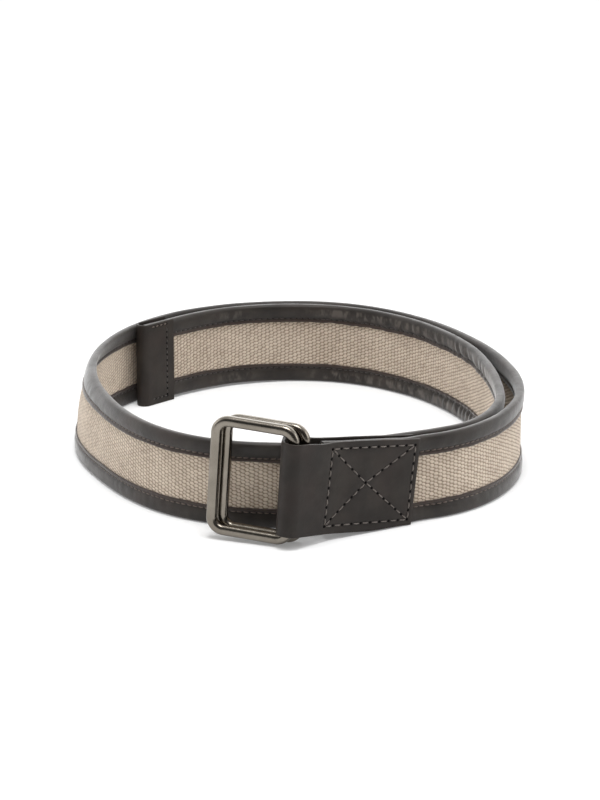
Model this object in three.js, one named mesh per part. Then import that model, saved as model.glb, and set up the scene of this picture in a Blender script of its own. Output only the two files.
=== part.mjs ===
// A canvas belt with leather edges, a folded leather tab and a pair of rectangular rings.
// It stands on its lower edge, rolled about one and two thirds of a turn, with the rings to -Y.
// Millimetres, +Z up. The origin is the middle of its bounding box, on the surface it stands on.
import * as THREE from 'three';

// Driving sizes of the strap
const BELT_WIDTH = 40;
const CANVAS_THICKNESS = 1.8;
const EDGE_LEATHER = 1.1;
const EDGE_COVER = 9.1;
const EDGE_ROUND = 1.5;
const CLEARANCE = 0.3;

// Driving sizes of the roll
const LOOP_RADIUS = 106;
const LAYER_SLACK = 4.8;
const TOP_LEAN = 7.5;
const STATION_PITCH = 8.5;

// Driving sizes of the folded tab
const TAB_LEATHER = 1.4;
const SEWN_LENGTH = 42.8;
const BAR_REACH = 19;
const BAR_OUTSET = 2.3;
const FOLD_INNER_RADIUS = 4.3;
const TAB_FLARE = 0.8;
const TAB_SAG = 1.9;
const TAB_DIP = 0.6;
const FOLD_SKEW = 1.9;

// Driving sizes of the two rings
const RING_HEIGHT = 54.6;
const RING_LENGTH = 41;
const RING_BAR = 4.8;
const BAR_ROUND = 1.5;
const RING_CORNER = 8;
const RING_GAP = 0.5;
const RING_STAGGER = 3;
const SEAT_GAP = 1.4;

// Driving sizes of the leather cap on the free end
const TIP_LEATHER = 1.2;
const TIP_LENGTH = 15.8;
const TIP_PROUD = 0.8;

// Angles, in degrees
const TAB_TURN = 27;
const TAB_HEADING = 29;
const END_TURN = 584.9;
const RING_FOLD = 49;
const PAIR_SWING = 45;

// Values that follow from the sizes above
const HALF_STRAP = CANVAS_THICKNESS / 2 + CLEARANCE + EDGE_LEATHER;
const LAYER_PITCH = 2 * HALF_STRAP + CLEARANCE;
const TAB_OFFSET = HALF_STRAP + CLEARANCE + TAB_LEATHER / 2;
const FOLD_RADIUS = FOLD_INNER_RADIUS + TAB_LEATHER / 2;
const RING_DROP = TAB_DIP + SEAT_GAP + RING_BAR;

const rad = THREE.MathUtils.degToRad;
const clamp01 = (value) => THREE.MathUtils.clamp(value, 0, 1);

// Outline of the roll seen from above: the angle goes anticlockwise from the front,
// and the outer face lies at this share of the loop radius.
const OUTLINE = [
  { angle: 0, radius: 1.001 },
  { angle: 25, radius: 1.008 },
  { angle: 47, radius: 1.043 },
  { angle: 70, radius: 1.017 },
  { angle: 90, radius: 0.975 },
  { angle: 106, radius: 0.958 },
  { angle: 128, radius: 0.984 },
  { angle: 150, radius: 1.069 },
  { angle: 170, radius: 1.146 },
  { angle: 190, radius: 1.167 },
  { angle: 210, radius: 1.15 },
  { angle: 235, radius: 1.091 },
  { angle: 262, radius: 1.022 },
  { angle: 293, radius: 0.949 },
  { angle: 325, radius: 0.977 },
];

// How far the strap lies inside that outline. The angle counts on past a full turn.
// layers is a share of one strap's pitch, behind a share of the tab's own depth there,
// slack a share of the widest gap between turns, lean and lift shares of their sizes.
const COURSE = [
  { angle: 0, layers: 0, behind: 0, slack: 0, lean: 0, lift: 0 },
  { angle: 210, layers: 0, behind: 0, slack: 0, lean: 0, lift: 0 },
  { angle: 246, layers: 0, behind: 0, slack: 0, lean: 0.72, lift: 0 },
  { angle: 263, layers: 0, behind: 0, slack: 0, lean: 1, lift: 0 },
  { angle: 281, layers: 0, behind: 0, slack: 0, lean: 0.8, lift: 0 },
  { angle: 300, layers: 0, behind: 0, slack: 0, lean: 0.36, lift: 0 },
  { angle: 335, layers: 0, behind: 0, slack: 0, lean: 0, lift: 0 },
  { angle: 360, layers: 0.68, behind: 0.15, slack: 0, lean: 0, lift: 0 },
  { angle: 375, layers: 1, behind: 0.75, slack: 0, lean: 0, lift: 0 },
  { angle: 394, layers: 1, behind: 1.1, slack: 0, lean: 0, lift: 0 },
  { angle: 408, layers: 1, behind: 0.1, slack: 0, lean: 0, lift: 0 },
  { angle: 424, layers: 1, behind: 0, slack: 0.4, lean: 0, lift: 0 },
  { angle: 444, layers: 1, behind: 0, slack: 1, lean: 0, lift: 0 },
  { angle: 464, layers: 1, behind: 0, slack: 0.7, lean: 0, lift: 0 },
  { angle: 486, layers: 1, behind: 0, slack: 0.1, lean: 0, lift: 0 },
  { angle: 535, layers: 1, behind: 0, slack: 0, lean: 0, lift: 0.1 },
  { angle: 560, layers: 1, behind: 0, slack: 0.6, lean: 0, lift: 1 },
  { angle: 574, layers: 1, behind: 0, slack: 0.95, lean: 0, lift: 1 },
  { angle: 588, layers: 1, behind: 0, slack: 0.55, lean: 0, lift: 1 },
];

// Smooth value of a column between the rows, with level ends or, for a period, wrapping round.
function columnAt(rows, column, angle, period = 0) {
  const count = rows.length;
  const row = (k) => {
    const turn = period ? Math.floor(k / count) : 0;
    const inside = period ? rows[k - turn * count] : rows[THREE.MathUtils.clamp(k, 0, count - 1)];
    return { x: inside.angle + turn * period, y: inside[column] };
  };
  const at = period ? THREE.MathUtils.euclideanModulo(angle, period) : angle;
  let k = 0;
  while (k < count - 1 && row(k + 1).x <= at) k += 1;
  const [a, b, c, d] = [row(k - 1), row(k), row(k + 1), row(k + 2)];
  const span = c.x - b.x;
  if (span === 0) return b.y;
  const t = clamp01((at - b.x) / span);
  const slopeB = c.x === a.x ? 0 : (c.y - a.y) / (c.x - a.x);
  const slopeC = d.x === b.x ? 0 : (d.y - b.y) / (d.x - b.x);
  const hermite = [2 * t ** 3 - 3 * t ** 2 + 1, t ** 3 - 2 * t ** 2 + t, 3 * t ** 2 - 2 * t ** 3, t ** 3 - t ** 2];
  return hermite[0] * b.y + hermite[1] * slopeB * span + hermite[2] * c.y + hermite[3] * slopeC * span;
}

// Radius of the strap's middle surface at an angle along its course
function middleRadius(angle) {
  const outline = LOOP_RADIUS * columnAt(OUTLINE, 'radius', angle, 360);
  const tabDepth = TAB_LEATHER + CLEARANCE;
  const inset = columnAt(COURSE, 'layers', angle) * LAYER_PITCH
    + columnAt(COURSE, 'behind', angle) * tabDepth
    + columnAt(COURSE, 'slack', angle) * LAYER_SLACK;
  return outline - inset - HALF_STRAP;
}

function onRoll(angle) {
  const r = middleRadius(angle);
  return new THREE.Vector3(r * Math.sin(rad(angle)), -r * Math.cos(rad(angle)), 0);
}

// The tab's right-hand end, where the strap comes out of it, and its heading seen from above
const TAB_END = onRoll(TAB_TURN);
const HEADING = new THREE.Vector3(Math.cos(rad(TAB_HEADING)), Math.sin(rad(TAB_HEADING)), 0);

// Where the two bars lie in the tab's own frame: x from its right-hand end towards the fold,
// y outwards. The rings lie folded inwards by the fold angle, the rear one staggered.
const FRONT_BAR = new THREE.Vector2(SEWN_LENGTH + BAR_REACH, BAR_OUTSET);
const RING_DIRECTION = new THREE.Vector2(1, 0).rotateAround(new THREE.Vector2(), -rad(RING_FOLD));
const BEHIND_RING = new THREE.Vector2(-Math.sin(rad(RING_FOLD)), -Math.cos(rad(RING_FOLD)));
const REAR_BAR = FRONT_BAR.clone()
  .addScaledVector(RING_DIRECTION, -RING_STAGGER)
  .addScaledVector(BEHIND_RING, RING_BAR + RING_GAP);

// The fold line leans outwards at the top, and the bars in it lean with it.
const FOLD_TILT = Math.atan(FOLD_SKEW / BELT_WIDTH);

// The tab slopes up to its fold, because the rings hang below it and stand on the surface.
const RING_FOOT = REAR_BAR.x + (RING_CORNER - RING_BAR / 2) * RING_DIRECTION.x;
const TAB_SLOPE = Math.asin((RING_DROP + CLEARANCE) / RING_FOOT);

// Closed solid through a row of sections, each a closed loop of the same number of points,
// given by its distance outwards and its height. The end faces come from the flat outline.
// Every side's diagonals rise along the course, so that walls facing each other bend alike.
function loft(sections, outline) {
  const size = outline.length;
  const positions = sections.flat().flatMap((point) => [point.x, point.y, point.z]);
  const order = outline.map((_, j) => j);
  if (!THREE.ShapeUtils.isClockWise(outline)) order.reverse();
  const triangles = [];
  for (let i = 0; i + 1 < sections.length; i += 1) {
    for (let j = 0; j < size; j += 1) {
      const a = i * size + order[j];
      const b = i * size + order[(j + 1) % size];
      const rises = outline[order[j]].y < outline[order[(j + 1) % size]].y;
      triangles.push(a, b, rises ? b + size : a + size);
      triangles.push(rises ? a : b, b + size, a + size);
    }
  }
  const last = (sections.length - 1) * size;
  for (const [a, b, c] of THREE.ShapeUtils.triangulateShape(outline, [])) {
    triangles.push(a, b, c);
    triangles.push(last + c, last + b, last + a);
  }
  const geometry = new THREE.BufferGeometry();
  geometry.setAttribute('position', new THREE.Float32BufferAttribute(positions, 3));
  geometry.setIndex(triangles);
  geometry.computeVertexNormals();
  return geometry;
}

// Stations along the strap's middle line: place, outward direction, lean of its top and lift
function strapStations() {
  const points = [1, 0.66, 0.33, 0, -0.14].map((share) => (
    TAB_END.clone().addScaledVector(HEADING, -share * SEWN_LENGTH)
  ));
  const firstTurn = TAB_TURN + 11;
  const samples = Math.round((END_TURN - firstTurn) / 9);
  const turns = Array.from({ length: samples + 1 }, (_, k) => (
    firstTurn + ((END_TURN - firstTurn) * k) / samples
  ));
  points.push(...turns.map(onRoll));
  const line = new THREE.CatmullRomCurve3(points, false, 'centripetal');
  line.arcLengthDivisions = 4000;
  const steps = Math.round(line.getLength() / STATION_PITCH);
  const places = line.getSpacedPoints(steps);
  return places.map((place, k) => {
    const tangent = line.getTangentAt(k / steps);
    const inTab = TAB_END.clone().sub(place).dot(HEADING);
    const startsInTab = k * STATION_PITCH < SEWN_LENGTH && inTab > 0;
    const seen = THREE.MathUtils.radToDeg(Math.atan2(place.x, -place.y));
    const laps = Math.round((TAB_TURN + (END_TURN - TAB_TURN) * (k / steps) - seen) / 360);
    const angle = seen + 360 * laps;
    return {
      place,
      outward: new THREE.Vector3(tangent.y, -tangent.x, 0),
      lean: startsInTab ? 0 : TOP_LEAN * columnAt(COURSE, 'lean', angle),
      lift: startsInTab
        ? inTab * Math.tan(TAB_SLOPE)
        : TIP_PROUD * Math.max(columnAt(COURSE, 'lift', angle), 0),
    };
  });
}

// A point of the strap's section: across is outwards, up is above the strap's lower edge
function strapPoint(station, across, up) {
  const shift = across - station.lean * (up / BELT_WIDTH) ** 3;
  const point = station.place.clone().addScaledVector(station.outward, shift);
  point.z = up + station.lift;
  return point;
}

function sweepStrap(stations, outline) {
  return loft(stations.map((station) => outline.map((p) => strapPoint(station, p.x, p.y))), outline);
}

// Canvas: a flat band between the two leather edges
function webbing(stations) {
  const half = CANVAS_THICKNESS / 2;
  const low = EDGE_LEATHER + CLEARANCE;
  const levels = [low, EDGE_COVER, BELT_WIDTH - EDGE_COVER, BELT_WIDTH - low];
  const outer = levels.map((up) => new THREE.Vector2(half, up));
  const inner = levels.map((up) => new THREE.Vector2(-half, up)).reverse();
  return sweepStrap(stations, [...outer, ...inner]);
}

// Leather folded over the canvas's edge, thinner at its sewn lip. side is -1 below, 1 above.
function edgeBinding(stations, side) {
  const inner = CANVAS_THICKNESS / 2 + CLEARANCE;
  const lip = inner + 0.75 * EDGE_LEATHER;
  const cut = HALF_STRAP - EDGE_ROUND * (1 - Math.SQRT1_2);
  const outerHalf = [
    [lip, EDGE_COVER],
    [HALF_STRAP, EDGE_COVER / 2],
    [HALF_STRAP, EDGE_ROUND],
    [cut, EDGE_ROUND * (1 - Math.SQRT1_2)],
    [HALF_STRAP - EDGE_ROUND, 0],
  ];
  const mirrored = outerHalf.map(([across, depth]) => [-across, depth]).reverse();
  const channel = [[-inner, EDGE_COVER], [-inner, EDGE_LEATHER], [inner, EDGE_LEATHER], [inner, EDGE_COVER]];
  const profile = [...outerHalf, ...mirrored, ...channel];
  const outline = profile.map(([across, depth]) => (
    new THREE.Vector2(across, side < 0 ? depth : BELT_WIDTH - depth)
  ));
  return sweepStrap(stations, outline);
}

// A strip of leather stood on edge along a plan line, with its own lower and upper edge,
// and leaning along x by the given amount over the strap's width
function standingStrip(line, thickness, edgesAt, leanAt = () => 0) {
  const half = thickness / 2;
  const outline = [[half, 0], [half, 1], [-half, 1], [-half, 0]].map(([x, y]) => new THREE.Vector2(x, y));
  const sections = line.map((point, k) => {
    const along = line[Math.min(k + 1, line.length - 1)].clone().sub(line[Math.max(k - 1, 0)]).normalize();
    const [low, high] = edgesAt(point);
    const lean = leanAt(point) / BELT_WIDTH;
    return outline.map(({ x, y }) => {
      const z = y ? high : low;
      return new THREE.Vector3(point.x + x * along.y + lean * z, point.y - x * along.x, z);
    });
  });
  return loft(sections, outline);
}

// Direction from a round's centre to where a taut line towards the next round leaves it,
// with both rounds on the line's right-hand side
function tangentAngle(from, fromRadius, to, toRadius) {
  const across = to.clone().sub(from);
  return across.angle() + Math.acos((fromRadius - toRadius) / across.length());
}

function arcPoints(centre, radius, start, end, count) {
  return Array.from({ length: count + 1 }, (_, k) => {
    const angle = start + ((end - start) * k) / count;
    return new THREE.Vector2(radius, 0).rotateAround(new THREE.Vector2(), angle).add(centre);
  });
}

// Plan line of the tab in its own frame: along the front of the strap, out and round the front
// bar, round the rear bar where that lies once the rings are swung out, and back behind the strap
function tabLine() {
  const swungRear = REAR_BAR.clone().rotateAround(FRONT_BAR, rad(PAIR_SWING));
  const start = new THREE.Vector2(SEWN_LENGTH, TAB_OFFSET);
  const finish = new THREE.Vector2(SEWN_LENGTH, -TAB_OFFSET);
  const leaveStart = tangentAngle(start, 0, FRONT_BAR, FOLD_RADIUS);
  const leaveFront = tangentAngle(FRONT_BAR, FOLD_RADIUS, swungRear, FOLD_RADIUS);
  const leaveRear = tangentAngle(swungRear, FOLD_RADIUS, finish, 0);
  const backTo = (angle, limit) => (angle > limit ? angle - 2 * Math.PI : angle);
  const frontEnd = backTo(leaveFront, leaveStart);
  const rearEnd = backTo(leaveRear, frontEnd);
  const front = arcPoints(FRONT_BAR, FOLD_RADIUS, leaveStart, frontEnd, 10);
  const rear = arcPoints(swungRear, FOLD_RADIUS, frontEnd, rearEnd, 8);
  const easeInto = (from, corner, to) => new THREE.QuadraticBezierCurve(from, corner, to).getPoints(5);
  const before = new THREE.Vector2(SEWN_LENGTH - BAR_REACH / 4, TAB_OFFSET);
  const after = start.clone().lerp(front[0], 0.3);
  const leaving = rear[rear.length - 1].clone().lerp(finish, 0.7);
  const ending = new THREE.Vector2(before.x, -TAB_OFFSET);
  return [
    new THREE.Vector2(0, TAB_OFFSET),
    new THREE.Vector2(SEWN_LENGTH / 2, TAB_OFFSET),
    ...easeInto(before, start, after),
    ...front,
    ...rear,
    ...easeInto(leaving, finish, ending),
    new THREE.Vector2(SEWN_LENGTH / 2, -TAB_OFFSET),
    new THREE.Vector2(0, -TAB_OFFSET),
  ];
}

// The tab hangs a little below the strap where it is sewn on, and clears the rings at the fold.
function tab() {
  const towardsFold = ({ x }) => THREE.MathUtils.smoothstep(x, SEWN_LENGTH, FRONT_BAR.x);
  const edges = (point) => {
    const sag = TAB_SAG * THREE.MathUtils.smoothstep(point.x, 0, SEWN_LENGTH / 2);
    const fold = towardsFold(point);
    return [-THREE.MathUtils.lerp(sag, TAB_DIP, fold), BELT_WIDTH + TAB_FLARE * fold];
  };
  return standingStrip(tabLine(), TAB_LEATHER, edges, (point) => FOLD_SKEW * towardsFold(point));
}

// Rectangular ring with rounded corners in its own frame: the bar in the tab is at the origin,
// the other one along +X, and the ring's lower edge is at the given height
function ring(low) {
  const half = RING_BAR / 2;
  const reach = RING_LENGTH - RING_BAR;
  const bottom = low + half;
  const top = low + RING_HEIGHT - half;
  const radius = RING_CORNER - half;
  const corners = [
    { x: reach - radius, z: bottom + radius, start: -90 },
    { x: reach - radius, z: top - radius, start: 0 },
    { x: radius, z: top - radius, start: 90 },
    { x: radius, z: bottom + radius, start: 180 },
  ];
  const arcSteps = 6;
  const frames = corners.flatMap(({ x, z, start }) => Array.from({ length: arcSteps + 1 }, (_, k) => {
    const angle = rad(start + (90 * k) / arcSteps);
    const out = new THREE.Vector3(Math.cos(angle), 0, Math.sin(angle));
    return { place: new THREE.Vector3(x, 0, z).addScaledVector(out, radius), out };
  }));
  const flat = half - BAR_ROUND;
  const section = [45, 135, 225, 315].flatMap((quarter) => [-45, 0, 45].map((turn) => {
    const angle = rad(quarter + turn);
    const corner = rad(quarter);
    return new THREE.Vector2(
      Math.sign(Math.cos(corner)) * flat + BAR_ROUND * Math.cos(angle),
      Math.sign(Math.sin(corner)) * flat + BAR_ROUND * Math.sin(angle));
  }));
  const size = section.length;
  const positions = frames.flatMap(({ place, out }) => section.flatMap(({ x, y }) => (
    [place.x + out.x * x, y, place.z + out.z * x]
  )));
  const triangles = frames.flatMap((_, i) => section.flatMap((__, j) => {
    const next = (i + 1) % frames.length;
    const side = (j + 1) % size;
    const [a, b, c, d] = [i * size + j, i * size + side, next * size + side, next * size + j];
    return [a, b, c, a, c, d];
  }));
  const geometry = new THREE.BufferGeometry();
  geometry.setAttribute('position', new THREE.Float32BufferAttribute(positions, 3));
  geometry.setIndex(triangles);
  geometry.computeVertexNormals();
  return geometry;
}

// Leather cap folded round the strap's free end
function tip(stations) {
  const offset = HALF_STRAP + CLEARANCE + TIP_LEATHER / 2;
  const last = stations.length - 1;
  const end = stations[last];
  const pitch = end.place.distanceTo(stations[last - 1].place);
  const mouth = Math.max(last - TIP_LENGTH / pitch, 0);
  const before = stations[Math.floor(mouth)];
  const after = stations[Math.floor(mouth) + 1];
  const share = mouth - Math.floor(mouth);
  const covered = [{
    place: before.place.clone().lerp(after.place, share),
    outward: before.outward.clone().lerp(after.outward, share).normalize(),
  }, ...stations.slice(Math.floor(mouth) + 1)];
  const flat = (vector) => new THREE.Vector2(vector.x, vector.y);
  const side = (sign) => covered.map(({ place, outward }) => (
    flat(place).addScaledVector(flat(outward), sign * offset)
  ));
  const onward = new THREE.Vector2(-end.outward.y, end.outward.x);
  const round = [-60, -30, 0, 30, 60].map((turn) => flat(end.place)
    .addScaledVector(onward, CLEARANCE + offset * Math.cos(rad(turn)))
    .addScaledVector(flat(end.outward), -offset * Math.sin(rad(turn))));
  const line = [...side(1), ...round, ...side(-1).reverse()];
  return standingStrip(line, TIP_LEATHER, () => [0, BELT_WIDTH + 2 * TIP_PROUD]);
}

function leather(color) {
  return new THREE.MeshStandardMaterial({ color, roughness: 0.55, metalness: 0 });
}

const canvasFinish = new THREE.MeshStandardMaterial({ color: 0xbca891, roughness: 0.9, metalness: 0 });
const metalFinish = new THREE.MeshStandardMaterial({ color: 0x8c857a, roughness: 0.35, metalness: 1 });

function named(name, geometry, material) {
  const mesh = new THREE.Mesh(geometry, material);
  mesh.name = name;
  return mesh;
}

const stations = strapStations();
const roll = new THREE.Group();
roll.add(
  named('webbing', webbing(stations), canvasFinish),
  named('binding_bottom', edgeBinding(stations, -1), leather(0x403c39)),
  named('binding_top', edgeBinding(stations, 1), leather(0x403c39)),
  named('tip', tip(stations), leather(0x3a3633)),
);

// The tab and the rings share one frame, turned to the tab's heading and sloped up to the fold.
const buckle = new THREE.Group();
buckle.position.copy(TAB_END);
buckle.rotation.set(0, -TAB_SLOPE, rad(TAB_HEADING + 180), 'ZYX');
const frontRing = named('ring_front', ring(-RING_DROP), metalFinish);
const rearRing = named('ring_rear', ring(-RING_DROP), metalFinish);
rearRing.position.set(REAR_BAR.x - FRONT_BAR.x, REAR_BAR.y - FRONT_BAR.y, 0);
frontRing.rotation.z = -rad(RING_FOLD);
rearRing.rotation.z = -rad(RING_FOLD);
const pair = new THREE.Group();
pair.position.set(FRONT_BAR.x, FRONT_BAR.y, 0);
pair.rotation.y = FOLD_TILT;
pair.add(frontRing, rearRing);
buckle.add(named('tab', tab(), leather(0x403c39)), pair);
roll.add(buckle);

// Centres the footprint on the origin
const belt = new THREE.Group();
belt.add(roll);
belt.updateMatrixWorld(true);
const box = new THREE.Box3().setFromObject(roll, true);
roll.position.set(-(box.min.x + box.max.x) / 2, -(box.min.y + box.max.y) / 2, -box.min.z);

export default belt;
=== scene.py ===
"""The looks of a rolled canvas belt with leather edges, a folded tab, two rings and a capped end.

Shapes are worked out in millimetres in the CAD's frame and turned into metres when a mesh is made.
Sizes that the CAD part shares have the same names and values as in its source.
"""
import math

import bpy
import numpy as np
from mathutils import Matrix, Vector


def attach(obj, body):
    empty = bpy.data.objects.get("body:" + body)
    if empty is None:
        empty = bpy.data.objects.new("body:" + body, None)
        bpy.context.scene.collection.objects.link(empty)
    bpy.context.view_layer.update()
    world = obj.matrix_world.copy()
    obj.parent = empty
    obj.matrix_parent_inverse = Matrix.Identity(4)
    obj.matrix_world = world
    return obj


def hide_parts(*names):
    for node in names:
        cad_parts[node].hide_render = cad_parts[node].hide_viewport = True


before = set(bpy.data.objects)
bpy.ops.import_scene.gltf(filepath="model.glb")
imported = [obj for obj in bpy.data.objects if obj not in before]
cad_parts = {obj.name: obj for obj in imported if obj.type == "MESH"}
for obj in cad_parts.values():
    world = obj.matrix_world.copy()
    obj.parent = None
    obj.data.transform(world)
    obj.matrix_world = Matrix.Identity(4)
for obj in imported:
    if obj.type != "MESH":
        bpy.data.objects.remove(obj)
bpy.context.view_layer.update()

# Sizes shared with the CAD part
BELT_WIDTH = 40.0
CANVAS_THICKNESS = 1.8
EDGE_LEATHER = 1.1
EDGE_COVER = 9.1
CLEARANCE = 0.3
STATION_PITCH = 8.5
TAB_LEATHER = 1.4
SEWN_LENGTH = 42.8
BAR_REACH = 19.0
BAR_OUTSET = 2.3
FOLD_INNER_RADIUS = 4.3
TAB_DIP = 0.6
FOLD_SKEW = 1.9
RING_HEIGHT = 54.6
RING_LENGTH = 41.0
RING_BAR = 4.8
RING_CORNER = 8.0
RING_GAP = 0.5
RING_STAGGER = 3.0
SEAT_GAP = 1.4
TIP_LEATHER = 1.2
TIP_LENGTH = 15.8
TIP_PROUD = 0.8
TAB_HEADING = math.radians(29)
RING_FOLD = math.radians(49)
PAIR_SWING = math.radians(45)
HALF_STRAP = CANVAS_THICKNESS / 2 + CLEARANCE + EDGE_LEATHER
TAB_OFFSET = HALF_STRAP + CLEARANCE + TAB_LEATHER / 2
FOLD_RADIUS = FOLD_INNER_RADIUS + TAB_LEATHER / 2
RING_DROP = TAB_DIP + SEAT_GAP + RING_BAR

# Sizes of the details
CANVAS_STEP = 2.5
CANVAS_ROWS = 17
CANVAS_UNEVEN = 0.12
NUB_WIDTH = 2.0
NUB_HEIGHT = 1.7
EDGE_STEP = 1.0
EDGE_SLOT = 0.93
EDGE_SLOT_MOUTH = 5.0
EDGE_STITCH_DEPTH = 7.2
EDGE_STITCH_PITCH = 3.0
EDGE_STITCH_HALF = 1.12
EDGE_THREAD_RADIUS = 0.27
# Gathered stretches of the leather edges' inner side: from, to and strength
GATHERS = ((825.0, 990.0, 1.0), (1005.0, 1042.0, 0.7))
GATHER_HEIGHT = 0.8
# Colour of the painted highlight on the folds of the gathered stretches
GATHER_HIGHLIGHT_COLOUR = (86, 80, 75)
PLAN_STEP = 0.5
TAB_ROWS = 100
TAB_PILLOW = 0.18
TAB_THREAD_RADIUS = 0.32
BOX_STITCH_PITCH = 4.6
HOLE_SIDES = 10
HOLE_RADIUS = 0.62
TIP_ROWS = 60
TIP_SEAM = 2.3
TIP_COLUMN = 4.4
TIP_THREAD_RADIUS = 0.26


# Numbers and lines
def wobble(at, seed):
    """Smooth random values from -1 to 1, one per unit of at, the same in each run."""
    at = np.asarray(at, float)
    values = np.random.RandomState(seed).uniform(-1, 1, 512)
    k = np.floor(at).astype(int)
    t = at - k
    t = t * t * (3 - 2 * t)
    return values[k % 512] * (1 - t) + values[(k + 1) % 512] * t


def smooth(values, at):
    """A smooth curve through evenly spaced rows, at fractional row numbers."""
    values = np.asarray(values, float)
    padded = np.vstack([2 * values[0] - values[1], values, 2 * values[-1] - values[-2]])
    k = np.clip(np.floor(at).astype(int), 0, len(values) - 2)
    t = (at - k)[..., None]
    a, b, c, d = padded[k], padded[k + 1], padded[k + 2], padded[k + 3]
    return b + 0.5 * t * (c - a + t * (2 * a - 5 * b + 4 * c - d + t * (3 * (b - c) + d - a)))


def step_up(x, low, high):
    """A soft step from 0 at low to 1 at high."""
    t = np.clip((np.asarray(x, float) - low) / (high - low), 0, 1)
    return t * t * (3 - 2 * t)


def evenly(line):
    """A plan line's points again at an even step, and their places along it."""
    at = np.concatenate([[0], np.cumsum(np.hypot(*np.diff(line, axis=0).T))])
    even = np.linspace(0, at[-1], int(at[-1] / PLAN_STEP))
    return np.stack([np.interp(even, at, line[:, 0]), np.interp(even, at, line[:, 1])], -1), even


def line_normals(line):
    """Unit vectors to the left of a plan line."""
    along = np.gradient(line, axis=0)
    along = along / np.linalg.norm(along, axis=1, keepdims=True)
    return np.stack([-along[:, 1], along[:, 0]], -1)


# Strap
def strap_rows():
    """Rows of the strap's course read from the canvas's CAD solid: x, y, lean of the top and lift."""
    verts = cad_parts["webbing"].data.vertices
    co = np.unique(np.round([np.array(v.co) * 1000 for v in verts], 3), axis=0)
    low = EDGE_LEATHER + CLEARANCE

    def pairs(points):
        gap = np.linalg.norm(points[:, None, :2] - points[None, :, :2], axis=2)
        np.fill_diagonal(gap, 1e9)
        found = sorted({tuple(sorted((i, int(j)))) for i, j in enumerate(gap.argmin(1))})
        return np.array([(points[i] + points[j]) / 2 for i, j in found]), found

    bottom, found = pairs(co[co[:, 2] < 7.5])
    sides = co[co[:, 2] < 7.5]
    top, _ = pairs(co[co[:, 2] > 36])
    here = int(bottom[:, 2].argmax())
    left = set(range(len(bottom))) - {here}
    step = STATION_PITCH * np.array([math.cos(TAB_HEADING), math.sin(TAB_HEADING)])
    order = [here]
    while left:
        guess = bottom[here, :2] + step
        there = min(left, key=lambda k: np.hypot(*(bottom[k, :2] - guess)))
        left.remove(there)
        step = bottom[there, :2] - bottom[here, :2]
        order.append(there)
        here = there
    line = bottom[order]
    rows = []
    for k, point in enumerate(line):
        i, j = found[order[k]]
        out = (sides[i] - sides[j])[:2]
        ahead = line[min(k + 1, len(line) - 1)] - line[max(k - 1, 0)]
        out = out / np.hypot(*out)
        if out @ np.array([ahead[1], -ahead[0]]) < 0:
            out = -out
        above = top[np.hypot(*(top[:, :2] - point[:2]).T).argmin()]
        high = BELT_WIDTH - low
        lean = (point[:2] - above[:2]) @ out / ((high / BELT_WIDTH) ** 3 - (low / BELT_WIDTH) ** 3)
        rows.append([point[0], point[1], lean, point[2] - low])
    return np.array(rows)


ROWS = strap_rows()
ROW_STEP = float(np.mean(np.hypot(*np.diff(ROWS[:, :2], axis=0).T)))
LENGTH = ROW_STEP * (len(ROWS) - 1)


def strap_point(s, across, up):
    """Points at s along the strap, across outwards from its middle and up above its lower edge."""
    s, across, up = np.broadcast_arrays(np.asarray(s, float), across, up)
    at = np.clip(s / ROW_STEP, 0, len(ROWS) - 1)
    near = smooth(ROWS, at)
    ahead = smooth(ROWS[:, :2], np.clip(at + 0.05, 0, len(ROWS) - 1))
    behind = smooth(ROWS[:, :2], np.clip(at - 0.05, 0, len(ROWS) - 1))
    along = ahead - behind
    along = along / np.linalg.norm(along, axis=-1, keepdims=True)
    shift = across - near[..., 2] * (up / BELT_WIDTH) ** 3
    x = near[..., 0] + along[..., 1] * shift
    y = near[..., 1] - along[..., 0] * shift
    return np.stack([x, y, up + near[..., 3]], -1)


# Meshes
def make_piece(name, verts, faces, uvs, material, body, slot=None, replaced=(), sharp=50):
    """A mesh object from points in millimetres, riding on a CAD body. uvs holds one pair per face corner."""
    mesh = bpy.data.meshes.new(name)
    mesh.from_pydata((np.asarray(verts, float) * 0.001).tolist(), [], faces)
    if uvs is not None:
        layer = mesh.uv_layers.new(name="UVMap")
        layer.data.foreach_set("uv", np.asarray(uvs, np.float32).ravel())
    mesh.polygons.foreach_set("use_smooth", [True] * len(mesh.polygons))
    mesh.update()
    if sharp:
        mesh.set_sharp_from_angle(angle=math.radians(sharp))
    mesh.materials.append(material)
    piece = bpy.data.objects.new(name, mesh)
    bpy.context.scene.collection.objects.link(piece)
    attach(piece, body)
    if replaced:
        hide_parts(*replaced)
    return piece


def grid_piece(name, points, s, v, material, body, closed_rows=False, **more):
    """A tube-like mesh through rows of closed sections. s and v are its UV lengths in millimetres,
    v with one value more than a section has points."""
    rows, size = points.shape[:2]
    k = np.arange(rows if closed_rows else rows - 1)[:, None]
    j = np.arange(size)[None, :]
    k2, j2 = (k + 1) % rows, (j + 1) % size
    quads = np.stack(np.broadcast_arrays(k * size + j, k2 * size + j, k2 * size + j2, k * size + j2), -1)
    faces = quads.reshape(-1, 4).tolist()
    s = np.asarray(s, float)
    v = np.asarray(v, float)
    s_next = s[k + 1] if closed_rows else s[k2]
    corner = [(s[k], v[j]), (s_next, v[j]), (s_next, v[j + 1]), (s[k], v[j + 1])]
    uvs = np.stack([np.stack(np.broadcast_arrays(*pair), -1) for pair in corner], -2).reshape(-1, 2)
    if not closed_rows:
        faces.append(list(range(size)))
        faces.append([(rows - 1) * size + i for i in range(size)][::-1])
        caps = [(s[0], x) for x in v[:-1]] + [(s[-1], x) for x in v[:-1][::-1]]
        uvs = np.vstack([uvs, caps])
    return make_piece(name, points.reshape(-1, 3), faces, uvs, material, body, **more)


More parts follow.
